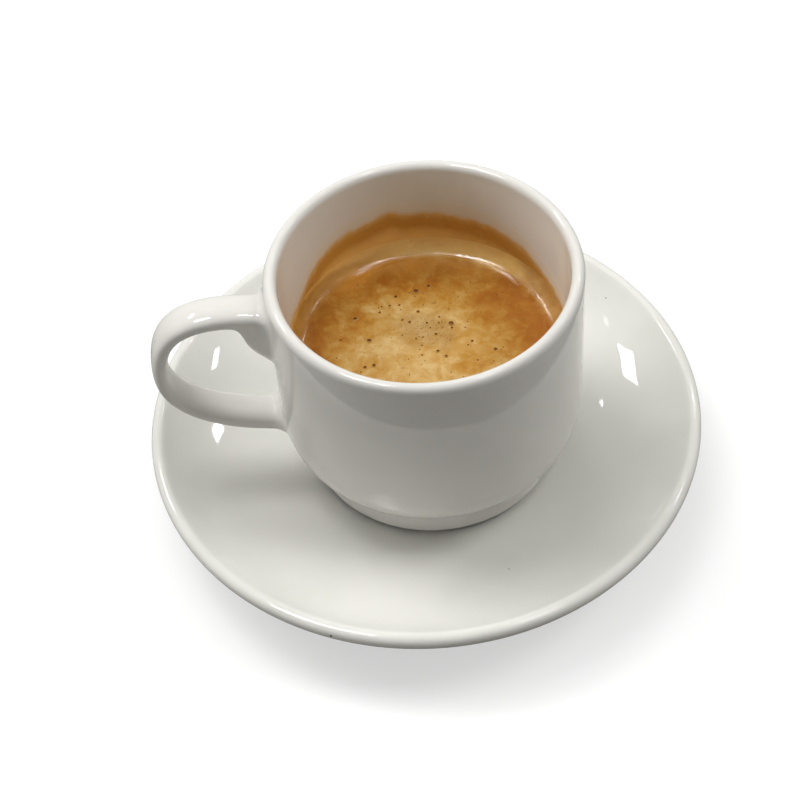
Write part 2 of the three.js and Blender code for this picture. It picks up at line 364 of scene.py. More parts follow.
class RevolveTree(ShapeTree):
    """Geometry Nodes that turn a line of profile points about an upright axis."""

    def __init__(self) -> None:
        """Builds the tree."""
        kinds = {"Segments": "Int", "Centre": "Vector", "Unevenness": "Vector", "Grain": "Float", "Seed": "Float"}
        super().__init__("Turned Profile", kinds)

    def shape(self) -> Wire:
        """Adds the nodes that set each row of the sheet on one point of the profile, turned about the axis.

        Returns:
            The turned shape.
        """
        make, given = self.make, self.given
        line = given["Geometry"]
        rows = make.get("GeometryNodeAttributeDomainSize", {"Geometry": line}, component="MESH")
        sheet, row, angle = self.sheet(rows, given["Segments"])
        sampled = {"Geometry": line, "Value": make.get("GeometryNodeInputPosition"), "Index": row}
        point = make.get("GeometryNodeSampleIndex", sampled, data_type="FLOAT_VECTOR")
        turned = make.get("ShaderNodeVectorRotate", {"Vector": point, "Angle": angle}, rotation_type="Z_AXIS")
        waves = {"Vector": turned, "W": given["Seed"], "Scale": given["Grain"], "Detail": 2.0}
        noise = make.get("ShaderNodeTexNoise", waves, "Color", noise_dimensions="4D")
        uneven = make.vector("MULTIPLY", make.vector("SUBTRACT", noise, MIDDLE), given["Unevenness"])
        placed = make.vector("ADD", make.vector("ADD", turned, uneven), given["Centre"])
        shaped = make.get("GeometryNodeSetPosition", {"Geometry": sheet, "Position": placed})
        return make.get("GeometryNodeMergeByDistance", {"Geometry": shaped, "Distance": MERGE_DISTANCE})

    def turn(self, name: str, profile: Sequence[Pair], centre: Triple, finish: bpy.types.Material, segments: int,
             unevenness: float = 0.0, grain: float = 60.0, seed: float = 1.0) -> bpy.types.Object:
        """Turns a profile into a closed piece.

        Args:
            name: The piece's name.
            profile: Points of radius and height that start and end on the axis, the top side first.
            centre: The axis's place and the height that the profile counts from.
            finish: The piece's material.
            segments: The number of steps round the axis.
            unevenness: How far the surface wanders up and down, in millimetres.
            grain: Waves of that unevenness in a metre.
            seed: The number that the unevenness starts from.

        Returns:
            The finished piece, a plain mesh.
        """
        closest = 1e-4
        kept = [p for i, p in enumerate(profile) if i == 0 or math.dist(p, profile[i - 1]) > closest]
        line = mesh_object(name, [(r, 0.0, z) for r, z in kept], edges=[(i, i + 1) for i in range(len(kept) - 1)])
        return self.run(line, {
            "Segments": segments, "Centre": metres(*centre), "Unevenness": metres(0.0, 0.0, unevenness * 2),
            "Grain": grain, "Seed": seed, "Finish": finish,
        })


class GlazeGroup:
    """Shader nodes that every glazed surface shares: faint clouds of tone, polish and ripples in the glaze."""

    cloud_scale = 38.0

    def __init__(self) -> None:
        """Builds the group."""
        kinds = {name: "Float" for name in ("Cloud Scale", "Polish", "Haze")}
        self.tree = new_group("Glaze", "Shader", {"Vector": "Vector", "Tone": "Color", "Shade": "Color", **kinds},
                              {"Colour": "Color", "Roughness": "Float", "Height": "Float"})
        make = TreeMaker(self.tree)
        given = make.named("NodeGroupInput")
        place = given["Vector"]
        share = make.ease(make.noise(place, given["Cloud Scale"], 3.0, 0.55), 0.35, 0.68)
        grit = make.named("ShaderNodeTexVoronoi", {"Vector": place, "Scale": 380.0, "Randomness": 1.0})
        freckle = make.ease(grit["Distance"], 0.05, 0.09, 1.0, 0.0)
        rare = make.math("GREATER_THAN", make.vector("DOT_PRODUCT", grit["Color"], (0.6, 0.3, 0.1)), 0.93)
        toned = make.blend(share, given["Tone"], given["Shade"])
        smear = make.ease(make.noise(place, 95.0, 4.0, 0.6, 0.4), 0.45, 0.8)
        make.add("NodeGroupOutput", {
            "Colour": make.blend(freckle * rare * 0.22, toned, tint(120, 112, 98)),
            "Roughness": given["Polish"] + smear * given["Haze"],
            "Height": make.noise(place, 42.0, 1.0, 0.4) + make.noise(place, 330.0, 2.0, 0.5) * 0.06,
        })

    def coat(self, make: TreeMaker, place: Wire, tones: Sequence[Colour], polish: float,
             haze: float) -> dict[str, Wire]:
        """Puts the group into a material.

        Args:
            make: The material's maker.
            place: The place on the piece.
            tones: The glaze's tone and the tone of its clouds.
            polish: The least roughness.
            haze: How much rougher it gets in smears.

        Returns:
            The group's outputs by name.
        """
        return make.named("ShaderNodeGroup", {
            "Vector": place, "Tone": tones[0], "Shade": tones[1], "Cloud Scale": self.cloud_scale,
            "Polish": polish, "Haze": haze,
        }, node_tree=self.tree)


@dataclass(frozen=True)
class Finish:
    """A material with one Principled shader, whose inputs each kind of finish gives."""

    name: str

    def look(self, make: TreeMaker, place: Wire) -> dict[str, Any]:
        """Gives the shader's inputs by name, from the material's maker and the place on the piece."""
        raise NotImplementedError

    def material(self) -> bpy.types.Material:
        """Builds the material.

        Returns:
            The material.
        """
        made = bpy.data.materials.new(self.name)
        made.use_nodes = True
        make = TreeMaker(made.node_tree)
        inputs = self.look(make, make.get("ShaderNodeTexCoord", output="Object"))
        make.add("ShaderNodeOutputMaterial", {"Surface": make.get("ShaderNodeBsdfPrincipled", inputs)})
        return made


@dataclass(frozen=True)
class PorcelainFinish(Finish):
    """White glazed porcelain with a dry foot ring, painted dark on the cup as contact shadow, and a few iron specks
    under the glaze.
    """

    glaze: GlazeGroup
    tones: tuple[Colour, Colour]
    centre: Triple
    foot_height: float
    foot_span: Pair
    # The foot ring's tones: bisque by default, and dark painted contact shadow where the cup sets them.
    dry_and_shaded_tones: tuple[Colour, Colour] = (tint(198, 190, 176), tint(226, 220, 208))
    specks: tuple[tuple[Triple, float], ...] = ()
    polish: float = 0.025
    haze: float = 0.04
    ripple: float = 0.12
    foot_fade: float = 0.25

    def look(self, make: TreeMaker, place: Wire) -> dict[str, Any]:
        """Gives the shader's inputs.

        Args:
            make: The material's maker.
            place: The place on the piece.

        Returns:
            The inputs by name.
        """
        coat = self.glaze.coat(make, place, self.tones, self.polish, self.haze)
        colour = coat["Colour"]
        for spot, radius in self.specks:
            far = make.vector("DISTANCE", place, metres(*spot)) + make.noise(place, 2600.0, 1.0) * (radius * MM)
            colour = make.blend(make.ease(far, radius * MM, radius * MM * 1.6, 1.0, 0.0), colour, tint(74, 66, 54))
        local = make.vector("SUBTRACT", place, metres(*self.centre))
        out = make.vector("LENGTH", make.vector("MULTIPLY", local, FLAT))
        low = make.ease(make.axis(local, "Z"), *metres(self.foot_height, self.foot_height + self.foot_fade), 1.0, 0.0)
        inner, outer = metres(*self.foot_span)
        # The foot band: on the saucer the dry unglazed foot, and on the cup painted contact shadow against the saucer.
        dry = low * (make.math("GREATER_THAN", out, inner) * make.math("LESS_THAN", out, outer))
        grain = make.noise(place, 1500.0, 4.0, 0.7)
        return {
            "Base Color": make.blend(dry, colour, make.blend(grain, *self.dry_and_shaded_tones)), "IOR": 1.5,
            "Roughness": coat["Roughness"] + dry * 0.6,
            "Normal": make.bump(self.ripple, 0.0012, coat["Height"] + dry * grain * 0.3),
        }


@dataclass(frozen=True)
class CremaFinish(Finish):
    """Tan foam, marbled from orange brown to cream, with a grey patch of fine bubbles and a wet collar, and with light
    and shade painted into its colour at the back and round the collar.
    """

    centre: Triple
    flat_radius: float
    level: float
    patch_centre: Pair = (0.2, 5.4)
    patch_reach: Pair = (2.0, 9.0)
    pale_centre: Pair = (-3.5, -3.5)
    pale_reach: Pair = (8.5, 25.0)
    stain_side: Triple = (-0.95, 0.31, 0.0)

    def look(self, make: TreeMaker, place: Wire) -> dict[str, Any]:
        """Gives the shader's inputs.

        Args:
            make: The material's maker.
            place: The place on the piece.

        Returns:
            The inputs by name.
        """
        local = make.vector("SUBTRACT", place, metres(*self.centre))
        flat = make.vector("MULTIPLY", local, FLAT)
        out = make.vector("LENGTH", flat)
        bend = make.noise(place, 150.0, 3.0, 0.6, output="Color")
        drift = make.vector("MULTIPLY", make.vector("SUBTRACT", bend, MIDDLE), (0.006, 0.006, 0.0))
        warped = make.vector("ADD", place, drift)
        marble, mottle = make.noise(warped, 125.0), make.noise(warped, 390.0, 5.0, 0.62)
        body = self._marbled(make, flat, out, make.axis(local, "Z") - self.level * MM, marble, mottle)
        pits = make.ease(make.get("ShaderNodeTexVoronoi", {"Vector": place, "Scale": 1750.0}), 0.12, 0.42, 1.0, 0.0)
        away = make.vector("DISTANCE", flat, metres(*self.patch_centre, 0.0))
        patch = make.ease(away + (marble - 0.5) * 0.016, *metres(*self.patch_reach), 1.0, 0.0)
        much = patch * 0.4 + make.ease(make.noise(place, 210.0, 2.0), 0.5, 0.72) * 0.2
        body = make.blend(patch * 0.55, body, tint(158, 124, 70))
        body = make.blend(pits * much, body, tint(104, 66, 22))
        wet = make.ease(out, *metres(self.flat_radius - 1.6, self.flat_radius))
        relief = mottle * 0.5 - pits * (much + 0.1) + make.noise(place, 1100.0, 3.0, 0.6) * (wet * 0.3)
        return {
            "Base Color": body, "Roughness": make.ease(mottle, 0.35, 0.65, 0.36, 0.5) - wet * 0.3, "IOR": 1.42,
            "Coat Weight": wet * 0.3, "Coat Roughness": 0.07, "Coat IOR": 1.35,
            "Normal": make.bump(0.35, 0.0004, relief),
        }

    def _marbled(self, make: TreeMaker, flat: Wire, out: Wire, rise: Wire, marble: Wire, mottle: Wire) -> Wire:
        """Adds the nodes for the foam's colour on the flat and on the collar, with painted light at the back and
        painted shade on the collar's right and front.

        Args:
            make: The material's maker.
            flat: The place from the cup's axis, without its height.
            out: The distance from the axis.
            rise: The height above the flat.
            marble: The large pattern.
            mottle: The small pattern.

        Returns:
            The colour.
        """
        far = make.vector("DISTANCE", flat, metres(*self.pale_centre, 0.0))
        pale = make.ease(far, *metres(*self.pale_reach), 1.0, 0.0)
        wander = (marble - 0.5) * 0.009
        edge = make.ease(out + wander, *metres(self.flat_radius - 7.0, self.flat_radius - 0.5))
        # Painted light: towards the back, the flat's darker edge is lifted to make up for the shade of the cup's back
        # wall.
        back = make.ease(make.axis(flat, "Y"), 0.002, 0.024)
        light = pale * 0.46 + (marble - 0.5) * 0.9 + (mottle - 0.5) * 1.5 + edge * (back * 0.28 - 0.38)
        body = make.ramp(
            make.math("ADD", light, 0.33, clamp=True), (0.0, tint(150, 88, 6)), (0.25, tint(159, 102, 20)),
            (0.5, tint(170, 123, 44)), (0.75, tint(180, 141, 73)), (1.0, tint(193, 161, 104)),
        )
        # Painted light: a lighter orange band on the back part of the flat's edge.
        lit = edge * make.ease(make.axis(flat, "Y"), 0.0145, 0.024) * 0.8
        body = make.blend(lit, body, make.blend(mottle, tint(196, 126, 30), tint(232, 172, 84)))
        collar = make.ease(out + wander * 0.3, *metres(self.flat_radius - 1.0, self.flat_radius + 1.4))
        # The collar's tan is its own colour, made brighter as painted light for its wet sheen and for the light that
        # its shaded place lacks.
        tan = make.blend(mottle, tint(252, 198, 104), tint(255, 224, 144))
        brown = make.blend(mottle, tint(150, 98, 32), tint(190, 142, 70))
        shaded = make.blend(mottle, tint(142, 92, 32), tint(208, 166, 104))
        way = make.vector("NORMALIZE", flat)
        stained = make.ease(make.vector("DOT_PRODUCT", way, self.stain_side) + wander * 60.0, 0.1, 0.9)
        high = make.ease(rise + wander * 0.5, 0.0014, 0.0031)
        ringed = make.blend(high * 0.75, make.blend(stained, tan, brown), tint(234, 188, 110))
        # Painted shade: on its right, where the lamps light it most, and on its front, the collar turns to a darker
        # shaded brown.
        right = make.ease(make.axis(way, "X") + wander * 25.0, 0.6, 0.98)
        front = make.ease(make.axis(way, "Y"), -0.5, 0.0, 1.0, 0.0)
        ringed = make.blend(make.math("MAXIMUM", right, front), ringed, shaded)
        return make.blend(collar * 0.9, body, ringed)


@dataclass(frozen=True)
class FilmFinish(Finish):
    """The brown film that the crema leaves on the wall as it sinks, fading into the glaze at its ragged top."""

    glaze: GlazeGroup
    tones: tuple[Colour, Colour]
    polish: float = 0.06
    haze: float = 0.05

    def look(self, make: TreeMaker, place: Wire) -> dict[str, Any]:
        """Gives the shader's inputs.

        Args:
            make: The material's maker.
            place: The place on the piece.

        Returns:
            The inputs by name.
        """
        coat = self.glaze.coat(make, place, self.tones, self.polish, self.haze)
        depth = make.get("ShaderNodeAttribute", output="Fac", attribute_name="film_depth")
        drag = make.get("ShaderNodeMapping", {"Vector": place, "Scale": (1.0, 1.0, 0.55)})
        broad, fine = make.noise(drag, 160.0, 5.0, 0.6, 0.5), make.noise(place, 900.0, 3.0, 0.6)
        thick = depth + ((broad - 0.5) * 0.5 + (fine - 0.5) * 0.2)
        stain = make.ramp(
            make.ease(thick, -0.2, 1.9), (0.0, tint(214, 184, 132)), (0.14, tint(206, 162, 94)),
            (0.32, tint(192, 138, 62)), (0.6, tint(192, 138, 60)), (1.0, tint(236, 190, 112)),
        )
        shown = make.math("MAXIMUM", make.ease(thick, -1.1, 0.0) * 0.26, make.ease(thick, -0.18, 0.36))
        return {
            "Base Color": make.blend(shown, coat["Colour"], stain), "Roughness": coat["Roughness"] + shown * 0.2,
            "IOR": 1.42, "Normal": make.bump(0.25, 0.0003, fine * shown),
        }


@dataclass(frozen=True)
class CoffeeFinish(Finish):
    """Dark brown coffee, a little redder where light passes through it."""

    def look(self, make: TreeMaker, place: Wire) -> dict[str, Any]:
        """Gives the shader's inputs.

        Args:
            make: The material's maker.
            place: The place on the piece.

        Returns:
            The inputs by name.
        """
        swirl = make.noise(place, 90.0, 4.0, 0.55, 0.8)
        return {
            "Base Color": make.blend(make.ease(swirl, 0.35, 0.7), tint(30, 13, 5), tint(62, 27, 10)),
            "Roughness": make.ease(swirl, 0.3, 0.7, 0.05, 0.12), "IOR": 1.34,
            "Normal": make.bump(0.1, 0.0005, swirl),
        }


@dataclass(frozen=True)
class BubbleFinish(Finish):
    """A bubble's thin dome, dark where the coffee shows through it and tan at its rim."""

    core: Colour
    rim: Colour

    def look(self, make: TreeMaker, place: Wire) -> dict[str, Any]:
        """Gives the shader's inputs.

        Args:
            make: The material's maker.
            place: The place on the piece.

        Returns:
            The inputs by name.
        """
        smudge = make.noise(place, 1900.0, 2.0)
        reach = make.get("ShaderNodeAttribute", output="Fac", attribute_name="across") + (smudge - 0.5) * 0.3
        return {
            "Base Color": make.blend(make.ease(reach, 0.5, 1.0), self.core, self.rim),
            "Roughness": make.ease(reach, 0.3, 1.0, 0.08, 0.3), "IOR": 1.34,
            "Normal": make.bump(0.15, 0.0001, smudge),
        }


@dataclass(frozen=True)
class FloorFinish(Finish):
    """A pale matt table top with a faint shadow, which throws little light back on the cup."""

    pale: Colour = tint(176, 176, 175)
    paler: Colour = tint(180, 180, 179)
    glow: Colour = tint(193, 193, 193)
    bounce: Colour = tint(132, 130, 126)

    def look(self, make: TreeMaker, place: Wire) -> dict[str, Any]:
        """Gives the shader's inputs.

        Args:
            make: The material's maker.
            place: The place on the piece.

        Returns:
            The inputs by name.
        """
        seen = make.get("ShaderNodeLightPath", output="Is Camera Ray")
        mottled = make.blend(make.noise(place, 6.0), self.pale, self.paler)
        return {
            "Base Color": make.blend(seen, self.bounce, mottled), "Roughness": 0.85,
            "Emission Color": make.blend(seen, (0.0, 0.0, 0.0, 1.0), self.glow), "Emission Strength": 1.0,
        }


def declare(piece: bpy.types.Object, slot: Slot, *nodes: str) -> bpy.types.Object:
    """Attaches a piece to the root body, hides the CAD nodes that it stands for and logs its size.

    Args:
        piece: The finished piece.
        slot: Its material slot; not used.
        *nodes: The CAD nodes that it replaces.

    Returns:
        The piece.
    """
    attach(piece, "root")
    if nodes:
        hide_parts(*nodes)
    log.info("%s: %d vertices, %d faces", piece.name, len(piece.data.vertices), len(piece.data.polygons))
    return piece


@dataclass
class Saucer:
    """The dished saucer with its rolled lip and low foot ring."""

    diameter: float = 120.0
    lip_radius: float = 1.7
    lip_z: float = 15.6
    thickness: float = 4.2
    well_z: float = 7.2
    well_radius: float = 27.0
    dish_rise: tuple[Pair, ...] = ((40.0, 7.4), (50.5, 11.0))
    underside_rise: tuple[Pair, ...] = ((52.0, 8.6), (44.0, 3.7))
    foot_span: Pair = (31.0, 34.5)
    foot_height: float = 3.2
    foot_rounding: float = 0.7
    segments: int = 180

    def profile(self) -> list[Pair]:
        """Lists the saucer's section from the well's middle over the lip to the underside's middle.

        Returns:
            Points of radius and height.
        """
        lip = arc((self.diameter / 2 - self.lip_radius, self.lip_z), (self.lip_radius, self.lip_radius), 120, -80, 20)
        dish = bezier_run([(self.well_radius, self.well_z), *self.dish_rise, lip[0]], 26)
        foot_root = (self.foot_span[1] + self.foot_rounding, self.foot_height)
        under = bezier_run([lip[-1], *self.underside_rise, foot_root], 18)
        r, (inner, outer) = self.foot_rounding, self.foot_span
        ceiling = self.well_z - self.thickness
        return [
            *straight((0.0, self.well_z), (self.well_radius - 2.0, self.well_z), 8), *dish, *lip, *under,
            *arc((outer - r, r), (r, r), 0, -90, 5), *arc((inner + r, r), (r, r), -90, -180, 5),
            (inner - r / 2, ceiling), *straight((inner - 3.0, ceiling), (0.0, ceiling), 6),
        ]

    def build(self, turner: RevolveTree, finish: bpy.types.Material) -> bpy.types.Object:
        piece = turner.turn("saucer_glazed", self.profile(), (0.0, 0.0, 0.0), finish, self.segments)
        return declare(piece, Slot.SAUCER, "saucer")


@dataclass
class Joint:
    """How the handle's strap spreads where it meets the cup."""

    is_upper: bool
    underside: tuple[Pair, ...]
    above: float
    side: float
    rings: tuple[float, ...]


@dataclass
class Cup:
    """The thick-walled cup and its strap handle, one closed body under a subdivision surface."""

    centre: Pair = (1.8, -0.1)
    base: float = 7.5
    height: float = 53.4
    rim_radius: float = 32.25
    body_radius: float = 32.45
    waist_z: float = 36.0
    wall: float = 2.8
    rim_dome: float = 1.6
    rim_share: float = 0.995
    narrowing: float = 0.022
    inner_turn_z: float = 18.0
    shoulder_z: float = 17.0
    shoulder: tuple[Pair, ...] = ((30.0, 9.2), (32.5, 11.7))
    foot_radius: float = 27.0
    foot_width: float = 2.8
    foot_height: float = 5.7
    foot_rounding: float = 1.3
    recess: float = 2.2
    floor_z: float = 5.2
    floor_radius: float = 14.0
    floor_curve_radius: float = 23.0
    reach: float = 57.4
    strap_width: float = 8.05
    apex_z: float = 33.7
    squareness: float = 2.5
    thickness: Triple = (4.5, 3.5, 4.9)
    upper_root: tuple[float, ...] = (46.4, 0.3, 16.2, 13.2)
    lower_root: tuple[float, ...] = (15.0, 0.13, 12.0, 10.6)
    upper: Joint = field(default_factory=lambda: Joint(
        True, ((7.5, 0.0), (3.2, 0.3), (4.6, 10.0), (0.0, 11.0)), 2.4, 3.2,
        (0, 0.15, 0.3, 0.42, 0.54, 0.66, 0.77, 0.87, 0.94, 0.985)))
    lower: Joint = field(default_factory=lambda: Joint(
        False, ((2.8, 0.0), (1.2, 0.0), (0.3, 0.3), (0.0, 1.2)), 2.2, 2.6, (0, 0.25, 0.5, 0.75, 0.94)))
    joint_turn: float = 5.0
    strap_rings: int = 20
    columns: int = 72
    opening_cells: int = 6
    lower_opening: Pair = (10.5, 20.4)
    upper_opening: Pair = (31.8, 51.35)
    inner_rows: tuple[float, ...] = (50.6, 47.0, 43.0, 39.0, 35.0, 31.0, 27.0, 22.5)
    shoulder_rows: tuple[float, ...] = (6.15, 6.8, 7.8, 9.1)

    def swell(self) -> float:
        """Gives the factor that undoes what subdivision takes off a ring's radius."""
        return 3 / (2 + math.cos(math.tau / self.columns))

    def inner_radius(self, z: float) -> float:
        """Gives the inner wall's radius at a height."""
        return self.rim_radius - self.wall - (self.height - self.rim_dome - z) * self.narrowing

    def outer_radius(self, z: float) -> float:
        """Finds the outer wall's radius at a height.

        Args:
            z: The height above the cup's foot.

        Returns:
            The radius.
        """
        waist = (self.body_radius + self.rim_radius) / 2
        if z >= self.waist_z:
            return lerp(waist, self.rim_radius, (z - self.waist_z) / (self.height - self.rim_dome - self.waist_z))
        if z >= self.shoulder_z:
            return lerp(self.body_radius, waist, (z - self.shoulder_z) / (self.waist_z - self.shoulder_z))
        if z <= self.foot_height:
            return self.foot_radius
        low, high = 0.0, 1.0
        curve = [(self.foot_radius, self.foot_height), *self.shoulder, (self.body_radius, self.shoulder_z)]
        for _ in range(HALVINGS):
            middle = (low + high) / 2
            low, high = (middle, high) if bezier(curve, middle)[1] < z else (low, middle)
        return bezier(curve, low)[0]

    def floor_curve(self, inset: float = 0.0, steps: int = 7) -> list[Pair]:
        """Lists the line from the inner wall round to the flat of the floor.

        Args:
            inset: How far it is drawn into the cup.
            steps: The number of steps.

        Returns:
            Points of radius and height, from the wall inwards.
        """
        wall, floor = self.inner_radius(self.inner_turn_z) - inset, self.floor_z + inset
        bend = [(wall, (self.inner_turn_z + floor) / 2 - 2), (self.floor_curve_radius - inset, floor)]
        return bezier_run([(wall, self.inner_turn_z), *bend, (self.floor_radius, floor)], steps)

    def wall_heights(self) -> list[float]:
        """Lists the heights of the outer wall's rows, with even rows in both of the handle's openings.

        Returns:
            The heights.
        """
        cells = self.opening_cells
        spans = (self.lower_opening, self.upper_opening)
        low, high = ([lerp(*span, i / cells) for i in range(cells + 1)] for span in spans)
        return [*self.shoulder_rows, *low, *[lerp(low[-1], high[0], i / 4) for i in (1, 2, 3)], *high]

    def rows(self) -> list[Pair]:
        """Lists the cup's section from the middle of its underside, over the rim, to the middle of its floor.

        Returns:
            Points of radius and height, the first and last on the axis.
        """
        inner_foot = self.foot_radius - self.foot_width
        r, half = self.foot_rounding, self.wall / 2
        rim, dome = (self.rim_radius - half, self.height - self.rim_dome), self.rim_dome * self.rim_share
        return [
            *[(out, self.recess) for out in (0.0, 6.0, 13.0, 19.0, inner_foot - 1.7)],
            (inner_foot - 0.35, self.recess * 0.8),
            *arc((inner_foot + r, r), (r, r), 190, 270, 3), *arc((self.foot_radius - r, r), (r, r), -90, 0, 3),
            *[(self.foot_radius, z) for z in (2.6, 4.6, 5.45)], (self.foot_radius + 0.12, 5.75),
            *[(self.outer_radius(z), z) for z in self.wall_heights()], *arc(rim, (half, dome), 4, 176, 8),
            *[(self.inner_radius(z), z) for z in self.inner_rows], *self.floor_curve(),
            *[(out, self.floor_z) for out in (9.0, 4.0, 0.0)],
        ]

    def strap_at(self, s: float) -> tuple[Vector, Vector, float]:
        """Finds the strap's centre line.

        Args:
            s: The place along it: 0 at the upper root, 1 at the apex and 2 at the lower root.

        Returns:
            The place, the outward direction and the thickness.
        """
        start = self.body_radius - 1
        apex = (self.reach - self.thickness[1] / 2, self.apex_z)
        z, slope, out, turn = self.upper_root
        upper = [(start, z), (start + out, z + out * slope), (apex[0], apex[1] + turn), apex]
        z, slope, out, turn = self.lower_root
        lower = [apex, (apex[0], apex[1] - turn), (start + out, z + out * slope), (start, z)]
        at = lambda v: Vector(bezier(upper, v) if v <= 1 else bezier(lower, v - 1))
        step = 1e-3
        along = (at(min(s + step, 2)) - at(max(s - step, 0))).normalized()
        end = self.thickness[0] if s <= 1 else self.thickness[2]
        share = (1 - math.cos(math.pi * abs(s - 1))) / 2
        return at(s), Vector((-along.y, along.x)), lerp(self.thickness[1], end, share)

    def strap_near(self, radius: float, is_upper: bool) -> float:
        """Finds where the strap's centre line is at a radius from the cup's axis.

        Args:
            radius: The radius.
            is_upper: Whether it is near the upper root.

        Returns:
            The place along the centre line.
        """
        near, far = (0.0, 0.8) if is_upper else (2.0, 1.2)
        for _ in range(HALVINGS):
            middle = (near + far) / 2
            near, far = (middle, far) if self.strap_at(middle)[0].x < radius else (near, middle)
        return (near + far) / 2

    def ring(self, place: Vector, up: Vector, above: float, below: float, side: float, wrap: float = 0.0,
             distance: float = 0.0) -> list[Triple]:
        """Lists one closed section of the handle, a rounded oblong.

        Args:
            place: Its middle, as radius and height.
            up: The direction of its outer side.
            above: How far it reaches on that side.
            below: How far it reaches on the other side.
            side: Half its width.
            wrap: How far it is bent to the cup's wall, from 0 to 1.
            distance: How far it then is from the wall.

        Returns:
            Its points, from the side at +Y through the outer side.
        """
        count = 4 * self.opening_cells
        power = 2 / self.squareness
        points = []
        for i in range(count):
            c, s = math.cos(math.tau * i / count), math.sin(math.tau * i / count)
            across = math.copysign(abs(c) ** power, c) * side
            rise = math.copysign(abs(s) ** power, s) * (above if s > 0 else below)
            z = place.y + up.y * rise
            bent = math.sqrt((self.outer_radius(z) * self.swell() + distance) ** 2 - across ** 2)
            points.append((-lerp(place.x + up.x * rise, bent, wrap), across, z))
        return points

    def joint_ring(self, joint: Joint, t: float) -> list[Triple]:
        """Lists a section of a joint.

        Args:
            joint: The joint.
            t: The place along its underside's line, 0 at the strap and 1 at the wall.

        Returns:
            The section's points.
        """
        distance, drop = bezier(joint.underside, t)
        place, outward, thickness = self.strap_at(self.strap_near(self.body_radius + distance, joint.is_upper))
        turn = smooth((self.joint_turn - distance) / self.joint_turn)
        up = outward.lerp(Vector((0.0, 1.0 if joint.is_upper else -1.0)), turn).normalized()
        spread = lambda r: r - math.sqrt(r * r - min(max(r - distance, 0), r) ** 2)
        top, bottom = thickness / 2 + spread(joint.above), thickness / 2 + drop
        if not joint.is_upper:
            top, bottom = bottom, top
        return self.ring(place, up, top, bottom, self.strap_width / 2 + spread(joint.side), turn, distance)

    def handle_rings(self) -> list[list[Triple]]:
        """Lists the handle's sections from the wall at the upper joint to the wall at the lower one.

        Returns:
            The sections' points.
        """
        joints = (self.upper, self.lower)
        start, stop = (self.strap_near(self.body_radius + j.underside[0][0], j.is_upper) for j in joints)
        strap = []
        for i in range(1, self.strap_rings):
            place, outward, thickness = self.strap_at(lerp(start, stop, i / self.strap_rings))
            strap.append(self.ring(place, outward, thickness / 2, thickness / 2, self.strap_width / 2))
        upper, lower = ([self.joint_ring(j, t) for t in (*j.rings, 1.0)] for j in joints)
        return [*upper[::-1], *strap, *lower]

    def cage(self) -> tuple[list[Triple], list[tuple[int, ...]]]:
        """Builds the quads that the subdivision surface smooths.

        Returns:
            The places and the faces' vertex numbers.
        """
        rows, cells, count = self.rows(), self.opening_cells, self.columns
        first = count // 2 - cells // 2
        heights = [z for _, z in rows]
        starts = [heights.index(self.lower_opening[0]), heights.index(self.upper_opening[0])]
        inside = lambda i, j: any(k < i < k + cells for k in starts) and first < j < first + cells
        opened = lambda i, j: any(k <= i < k + cells for k in starts) and first <= j < first + cells
        places: list[Triple] = []
        number: dict[tuple[int, int], int] = {}
        for i, (r, z) in enumerate(rows):
            for j in range(count):
                if inside(i, j):
                    continue
                if r == 0.0 and j:
                    number[i, j] = number[i, 0]
                    continue
                number[i, j] = len(places)
                angle = math.tau * j / count
                swollen = r * self.swell()
                places.append((swollen * math.cos(angle), swollen * math.sin(angle), z))
        faces = []
        for i in range(len(rows) - 1):
            for j in range(count):
                if not opened(i, j):
                    k = (j + 1) % count
                    face = dict.fromkeys((number[i, j], number[i, k], number[i + 1, k], number[i + 1, j]))
                    faces.append(tuple(face))
        rings = [self._opening(number, starts[1], first, 1)]
        for points in self.handle_rings():
            rings.append(list(range(len(places), len(places) + len(points))))
            places.extend(points)
        rings.append(self._opening(number, starts[0], first, -1))
        for a, b in zip(rings, rings[1:]):
            for i in range(len(a)):
                k = (i + 1) % len(a)
                faces.append((a[i], a[k], b[k], b[i]))
        return places, faces

    def _opening(self, number: dict[tuple[int, int], int], start: int, first: int, way: int) -> list[int]:
        """Lists the vertices round an opening in the same order as a ring of the handle.

        Args:
            number: The wall's vertex numbers by row and column.
            start: The opening's lowest row.
            first: Its first column.
            way: 1 if the strap's outer side is up at this opening, and -1 if it is down.

        Returns:
            The vertex numbers.
        """
        n, h = self.opening_cells, self.opening_cells // 2
        steps = [(h + i, 0) for i in range(h)] + [(n, i) for i in range(n)] + [(n - i, n) for i in range(n)]
        steps += [(0, n - i) for i in range(n)] + [(i, 0) for i in range(h)]
        return [number[start + (row if way > 0 else n - row), first + column] for row, column in steps]

    def build(self, finish: bpy.types.Material) -> bpy.types.Object:
        """Args:
            finish: Its glaze.

        Returns:
            The cup with its handle.
        """
        places, faces = self.cage()
        moved = [(x + self.centre[0], y + self.centre[1], z + self.base) for x, y, z in places]
        piece = mesh_object("cup_glazed", moved, faces)
        face_outwards(piece)
        piece.data.materials.append(finish)
        soft = piece.modifiers.new("Soft edges", "SUBSURF")
        soft.levels = soft.render_levels = 2
        return declare(piece, Slot.CUP, "cup")


